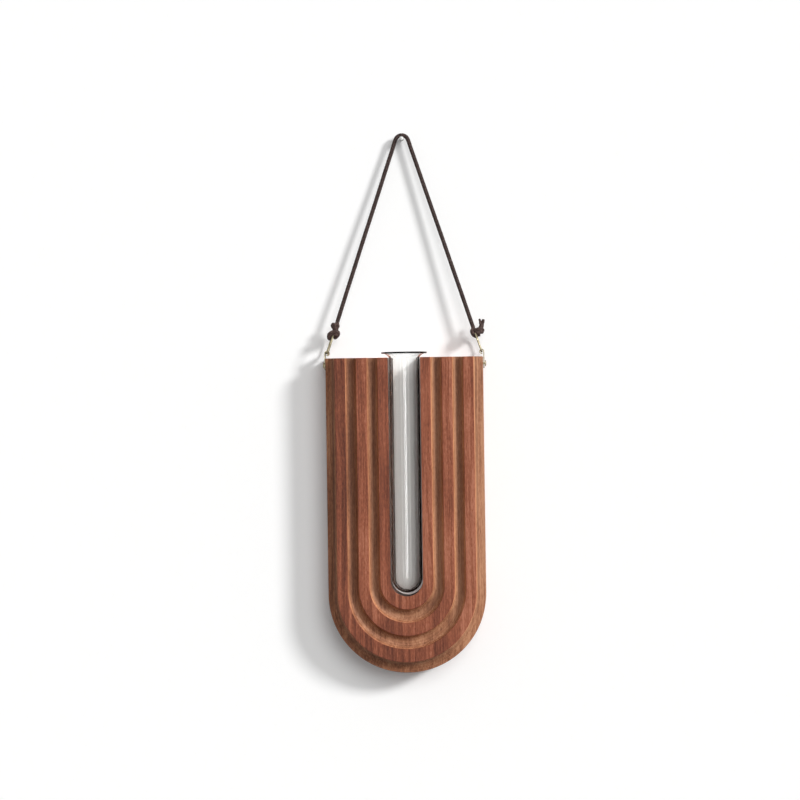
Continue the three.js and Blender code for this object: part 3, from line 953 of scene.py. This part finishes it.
def make_board(wood):
    """The board: each line of its section runs down the left, round the foot and up the right."""
    columns = board_columns()
    verts = []
    for half, foot, y in columns:
        centre = BOARD_FOOT + foot + half
        verts.append((-half, y, BOARD_TOP))
        for i in range(FOOT_STEPS + 1):
            angle = HALF_TURN * (1 + i / FOOT_STEPS)
            verts.append((half * math.cos(angle), y, centre + half * math.sin(angle)))
        verts.append((half, y, BOARD_TOP))
    stations = len(verts) // len(columns)
    faces = []
    for column, following in around(len(columns)):
        here, there = column * stations, following * stations
        for k in range(stations - 1):
            faces.append((here + k, there + k, there + k + 1, here + k + 1))
    starts = [column * stations for column in range(len(columns))]
    faces.append(tuple(reversed(starts)))
    faces.append(tuple(start + stations - 1 for start in starts))
    board = plain_object("grooved_board", verts, faces)
    round_edges(board, ARRIS, degrees=40, segments=3)
    return dress(board, wood, "board", "walnut", "wood_board", sharp_degrees=30)


def tube_profile():
    """Radius and height round the tube's wall, from under its foot over the rim to its inside."""
    outer, inner = [], []
    half_wall = TUBE_WALL / 2
    reach = LIP_RADIUS - TUBE_RADIUS
    rise = FLARE_HEIGHT - half_wall
    angles = [QUARTER_TURN * i / FLARE_STEPS for i in range(FLARE_STEPS + 1)]
    for angle in angles:
        for side, radius in ((outer, TUBE_RADIUS), (inner, TUBE_RADIUS - TUBE_WALL)):
            side.append((radius * math.sin(angle), TUBE_RADIUS - radius * math.cos(angle)))
    for angle in angles:
        radius = TUBE_RADIUS - half_wall + reach * (1 - math.cos(angle))
        height = TUBE_LENGTH - FLARE_HEIGHT + rise * math.sin(angle)
        normal = Vector((rise * math.cos(angle), -reach * math.sin(angle))).normalized() * half_wall
        outer.append((radius + normal.x, height + normal.y))
        inner.append((radius - normal.x, height - normal.y))
    rim = []
    for i in range(1, RIM_STEPS):
        angle = HALF_TURN * (i / RIM_STEPS - 0.5)
        rim.append((radius + half_wall * math.cos(angle), height + half_wall * math.sin(angle)))
    return outer + rim + inner[::-1]


def make_tube(glass):
    """Test tube: round foot, straight wall, quarter ellipse flare and a rounded rim."""
    place = Matrix.Translation((0, TUBE_Y, TUBE_FOOT))
    tube = plain_object("clear_tube", *lathe(tube_profile(), TUBE_SIDES), place)
    return dress(tube, glass, "tube", "glass", "glass_tube", sharp_degrees=60)


def side_place(name):
    """Frame of a hanger on the board's side: x away from the board, z up from its top."""
    side = SIDES[name]
    place = Matrix.Translation((side * BOARD_HALF, HANGER_Y, BOARD_TOP))
    return place if side > 0 else place @ Matrix.Rotation(HALF_TURN, 4, "Z")


def screw_place(name):
    """Frame of a plate's screw: z out of the board's side, along the screw."""
    drop = Matrix.Translation((0, 0, -SCREW_DROP))
    return side_place(name) @ drop @ Matrix.Rotation(QUARTER_TURN, 4, "Y")


def plate_stations():
    """Half width and the near and far point (x, z) at each step up the strap and round its curl."""
    stations = []
    for i in range(PLATE_CORNER_STEPS + 1):
        angle = QUARTER_TURN * i / PLATE_CORNER_STEPS
        half = PLATE_HALF - PLATE_CORNER + PLATE_CORNER * math.sin(angle)
        z = PLATE_CORNER * (1 - math.cos(angle)) - PLATE_DROP
        stations.append((half, (GAP, z), (GAP + PLATE_THICKNESS, z)))
    centre = GAP - BORE_RADIUS
    for i in range(KNUCKLE_STEPS + 1):
        angle = KNUCKLE_CURL * i / KNUCKLE_STEPS
        near, far = (
            (centre + r * math.cos(angle), KNUCKLE_RISE + r * math.sin(angle))
            for r in (BORE_RADIUS, BORE_RADIUS + PLATE_THICKNESS)
        )
        stations.append((PLATE_HALF, near, far))
    return stations


def make_plate(name, brass):
    """Strap bent from sheet: rounded foot, straight back, and a knuckle curled over the ring."""
    stations = plate_stations()
    verts = []
    for half, near, far in stations:
        for (x, z), y in ((near, -half), (near, half), (far, half), (far, -half)):
            verts.append((x, y, z))
    last = len(verts) - 4
    faces = [(3, 2, 1, 0)] + quads(len(stations), 4) + [(last, last + 1, last + 2, last + 3)]
    plate = plain_object(f"{name}_strap", verts, faces, side_place(name))
    drill = [(0, -DRILL_REACH), (HOLE_RADIUS, -DRILL_REACH), (HOLE_RADIUS, DRILL_REACH), (0, DRILL_REACH)]
    cut(plate, plain_object("drill", *lathe(drill, HOLE_SIDES), screw_place(name)))
    round_edges(plate, PLATE_ARRIS, degrees=50)
    return dress(plate, brass, "board", "brass", f"{name}_hanger_plate")


def thread_rows():
    """Rows of vertices up the shank, from just above its point to its neck."""
    rows = []
    for i in range(1, int((SCREW_LENGTH - SCREW_NECK) / SCREW_STEP)):
        z = SCREW_SEAT - SCREW_LENGTH + SCREW_STEP * i
        body = SHANK_RADIUS * min(1, (z - SCREW_SEAT + SCREW_LENGTH) / SCREW_TIP)
        radii = []
        for k in range(SCREW_SIDES):
            wave = 1 - abs(2 * ((z / THREAD_PITCH - k / SCREW_SIDES) % 1) - 1)
            radii.append(body * (THREAD_CORE + (1 - THREAD_CORE) * wave))
        rows.append(round_row(radii, z))
    return rows


def head_rows():
    """Rows of vertices from the neck out under the head, up its rim and over its dome."""
    rim = SCREW_SEAT + HEAD_RIM
    profile = [(THREAD_CORE * SHANK_RADIUS, SCREW_SEAT), (HEAD_RADIUS, SCREW_SEAT), (HEAD_RADIUS, rim)]
    for i in range(1, HEAD_STEPS):
        angle = QUARTER_TURN * i / HEAD_STEPS
        profile.append((HEAD_RADIUS * math.cos(angle), rim + HEAD_DOME * math.sin(angle)))
    return [round_row([radius] * SCREW_SIDES, z) for radius, z in profile]


def make_screw(name, brass):
    """Domed head with a cross recess, and a threaded shank down to its point."""
    crown = SCREW_SEAT + HEAD_RIM + HEAD_DOME
    rows = thread_rows() + head_rows()
    verts = [(0, 0, SCREW_SEAT - SCREW_LENGTH)] + [v for row in rows for v in row] + [(0, 0, crown)]
    top = len(verts) - 1
    last = top - SCREW_SIDES
    faces = [(0, 1 + after, 1 + k) for k, after in around(SCREW_SIDES)]
    faces += quads(len(rows), SCREW_SIDES, first=1)
    faces += [(last + k, last + after, top) for k, after in around(SCREW_SIDES)]
    place = screw_place(name)
    screw = plain_object(f"{name}_screw", verts, faces, place)
    for turn in (0, QUARTER_TURN):
        at = place @ Matrix.Translation((0, 0, crown)) @ Matrix.Rotation(turn, 4, "Z")
        cut(screw, plain_object("blade", *block(*RECESS_HALVES), at))
    return dress(screw, brass, "board", "brass", f"{name}_plate_screw", sharp_degrees=40)


def ring_place(name):
    """Frame of a ring: its straight bar along y at the hinge, its round end up along z."""
    side = SIDES[name]
    pivot = (side * (BOARD_HALF + GAP - BORE_RADIUS), HANGER_Y, BOARD_TOP + KNUCKLE_RISE)
    lean = Matrix.Rotation(-side * RING_LEAN, 4, "Y")
    return Matrix.Translation(pivot) @ lean @ Matrix.Rotation(RING_SKEW[name], 4, "Z")


def arc(y, z, radius, start, end, steps):
    """Points (y, z) on an arc round a centre, from one angle to another in degrees."""
    angles = [math.radians(start + (end - start) * i / steps) for i in range(steps + 1)]
    return [(y + radius * math.cos(a), z + radius * math.sin(a)) for a in angles]


def ring_path():
    """Middle line of the ring's wire, from the seam in the bar all the way round."""
    corner = RING_HALF - RING_CORNER
    shoulder = RING_REACH - RING_HALF
    middle = (RING_CORNER + shoulder) / 2
    points = [(RING_SEAM / 2, 0), (corner / 2, 0)]
    points += arc(corner, RING_CORNER, RING_CORNER, -90, 0, RING_CORNER_STEPS)
    points.append((RING_HALF, middle))
    points += arc(0, shoulder, RING_HALF, 0, 180, RING_ROUND_STEPS)
    points.append((-RING_HALF, middle))
    points += arc(-corner, RING_CORNER, RING_CORNER, 180, 270, RING_CORNER_STEPS)
    points += [(-corner / 2, 0), (-RING_SEAM / 2, 0)]
    return resample(spline([(0, y, z) for y, z in points]), RING_STEP)


def make_ring(name, brass):
    """Ring bent from round wire, its two ends butted in the knuckle."""
    path = ring_path()
    mesh = sweep(path, [RING_WIRE] * len(path), RING_SIDES, first_normal=Vector((1, 0, 0)))
    ring = plain_object(f"{name}_ring_wire", *mesh, ring_place(name))
    return dress(ring, brass, f"{name}_ring", "brass", f"{name}_d_ring")


def strand_mesh(start, end, closed, points, centre):
    """Vertices and faces of one strand, slightly uneven, round the knot's centre."""
    path = resample(spline(points, closed), KNOT_STEP)
    if closed:
        path = path[:-1]
    last = len(path) - 1
    radii = []
    for i, point in enumerate(path):
        uneven = 1 + KNOT_UNEVENNESS * noise.noise(point * KNOT_LUMPS)
        radii.append((start + (end - start) * i / last) * uneven)
    return sweep([point + centre for point in path], radii, KNOT_SIDES, closed)


def make_knot(name, leather):
    """Strands of the knot run together into one skin, with the creases between them left in."""
    centre = ring_place(name) @ Vector((0, 0, RING_REACH))
    verts, faces = [], []
    for strand in KNOTS[name]:
        more_verts, more_faces = strand_mesh(*strand, centre)
        faces += [tuple(i + len(verts) for i in face) for face in more_faces]
        verts += more_verts
    knot = plain_object(f"{name}_tied_knot", verts, faces)
    remesh = knot.modifiers.new("skin", "REMESH")
    remesh.mode = "VOXEL"
    remesh.voxel_size = KNOT_VOXEL * MM
    smooth = knot.modifiers.new("ease", "SMOOTH")
    smooth.factor = KNOT_EASE
    smooth.iterations = KNOT_EASE_ROUNDS
    bake(knot)
    return dress(knot, leather, f"{name}_ring", "leather", f"{name}_knot", sharp_degrees=180)


def rectangle(half, low, high):
    """Corners of a rectangle that reaches as far to the left as to the right."""
    return [(-half, low), (half, low), (half, high), (-half, high)]


def stage_sheet(name, corners, material):
    """A flat sheet of the stage from its four corners in metres."""
    sheet = plain_object(name, in_millimetres(corners), [(0, 1, 2, 3)])
    shade(sheet, material)
    return sheet


def make_stage():
    """Wall with the nail the cord hangs on, and a pale floor below the picture."""
    wall_corners = [(x, WALL_Y, z) for x, z in rectangle(WALL_HALF, FLOOR_Z, WALL_TOP)]
    stage_sheet("wall", wall_corners, wall_material())
    floor_corners = [(x, y, FLOOR_Z) for x, y in rectangle(FLOOR_HALF, FLOOR_FRONT, FLOOR_BACK)]
    floor = stage_sheet("floor", floor_corners, paint_shader("floor_paint", FLOOR_PAINT).material)
    floor.visible_diffuse = False

    place = Matrix.Translation((0, 0, NAIL_Z)) @ Matrix.Rotation(QUARTER_TURN, 4, "X")
    nail = plain_object("nail", *lathe(NAIL_PROFILE, NAIL_SIDES), place)
    shade(nail, steel_material())


def make_lights():
    """A key from the upper right, a broad fill beside the camera, and one from behind."""
    for name, (strength, angle, direction) in LAMPS.items():
        lamp = bpy.data.lights.new(name, "SUN")
        lamp.energy = strength
        lamp.angle = angle
        obj = bpy.data.objects.new(name, lamp)
        obj.rotation_euler = direction.to_track_quat("Z", "Y").to_euler()
        obj.visible_transmission = False
        bpy.context.scene.collection.objects.link(obj)


def strip_light(nodes, way, height, azimuth, half_width):
    """1 in the directions that an upright lamp fills, and 0 in all others."""
    toward = nodes.dot(way, (math.sin(azimuth), -math.cos(azimuth), 0))
    aside = nodes.math("ABSOLUTE", nodes.dot(way, (math.cos(azimuth), math.sin(azimuth), 0)))
    ahead = nodes.math("GREATER_THAN", toward, math.cos(half_width) * math.cos(STRIP_HALF_HEIGHT))
    narrow = nodes.math("LESS_THAN", aside, math.sin(half_width))
    low = nodes.math("LESS_THAN", nodes.math("ABSOLUTE", height), math.sin(STRIP_HALF_HEIGHT))
    return nodes.multiply(ahead, narrow, low)


def make_world():
    """Light that fades downward; the eye, metal and glass see white instead, until it scatters."""
    world = bpy.data.worlds.new("studio")
    bpy.context.scene.world = world
    world.use_nodes = True
    nodes = Nodes(world.node_tree)
    rays = nodes.node("LightPath").outputs
    unscattered = nodes.math("LESS_THAN", rays["Diffuse Depth"], 0.5)
    seen = nodes.math("MAXIMUM", rays["Is Camera Ray"], rays["Is Glossy Ray"])
    seen = nodes.math("MAXIMUM", seen, rays["Is Transmission Ray"])
    way = nodes.node("TexCoord").outputs["Generated"]
    height = nodes.dot(way, (0, 0, 1))
    ambient = nodes.span(height, -1.0, 1.0, AMBIENT_BELOW, AMBIENT_ABOVE)
    level = nodes.span(nodes.multiply(seen, unscattered), 0.0, 1.0, ambient, 1.0)

    mirrored = nodes.multiply(rays["Is Glossy Ray"], unscattered)
    for azimuth, half_width, strength in STRIPS:
        strip = strip_light(nodes, way, height, azimuth, half_width)
        level = nodes.add(level, nodes.multiply(strip, mirrored, strength))

    background = nodes.tree.nodes["Background"]
    nodes.fill(background.inputs["Color"], WHITE)
    nodes.fill(background.inputs["Strength"], level)


make_camera()
cords = make_cords(leather_material("leather", 0.0))
worn_and_highlit_leather = leather_material("worn_and_highlit_leather", KNOT_WEAR_AND_HIGHLIGHT)
brass = brass_material()
make_board(wood_material())
make_tube(glass_material())
for name in SIDES:
    make_plate(name, brass)
    make_screw(name, brass)
    make_ring(name, brass)
    make_knot(name, worn_and_highlit_leather)
make_stage()
make_lights()
make_world()
bpy.context.scene.view_settings.view_transform = "Standard"
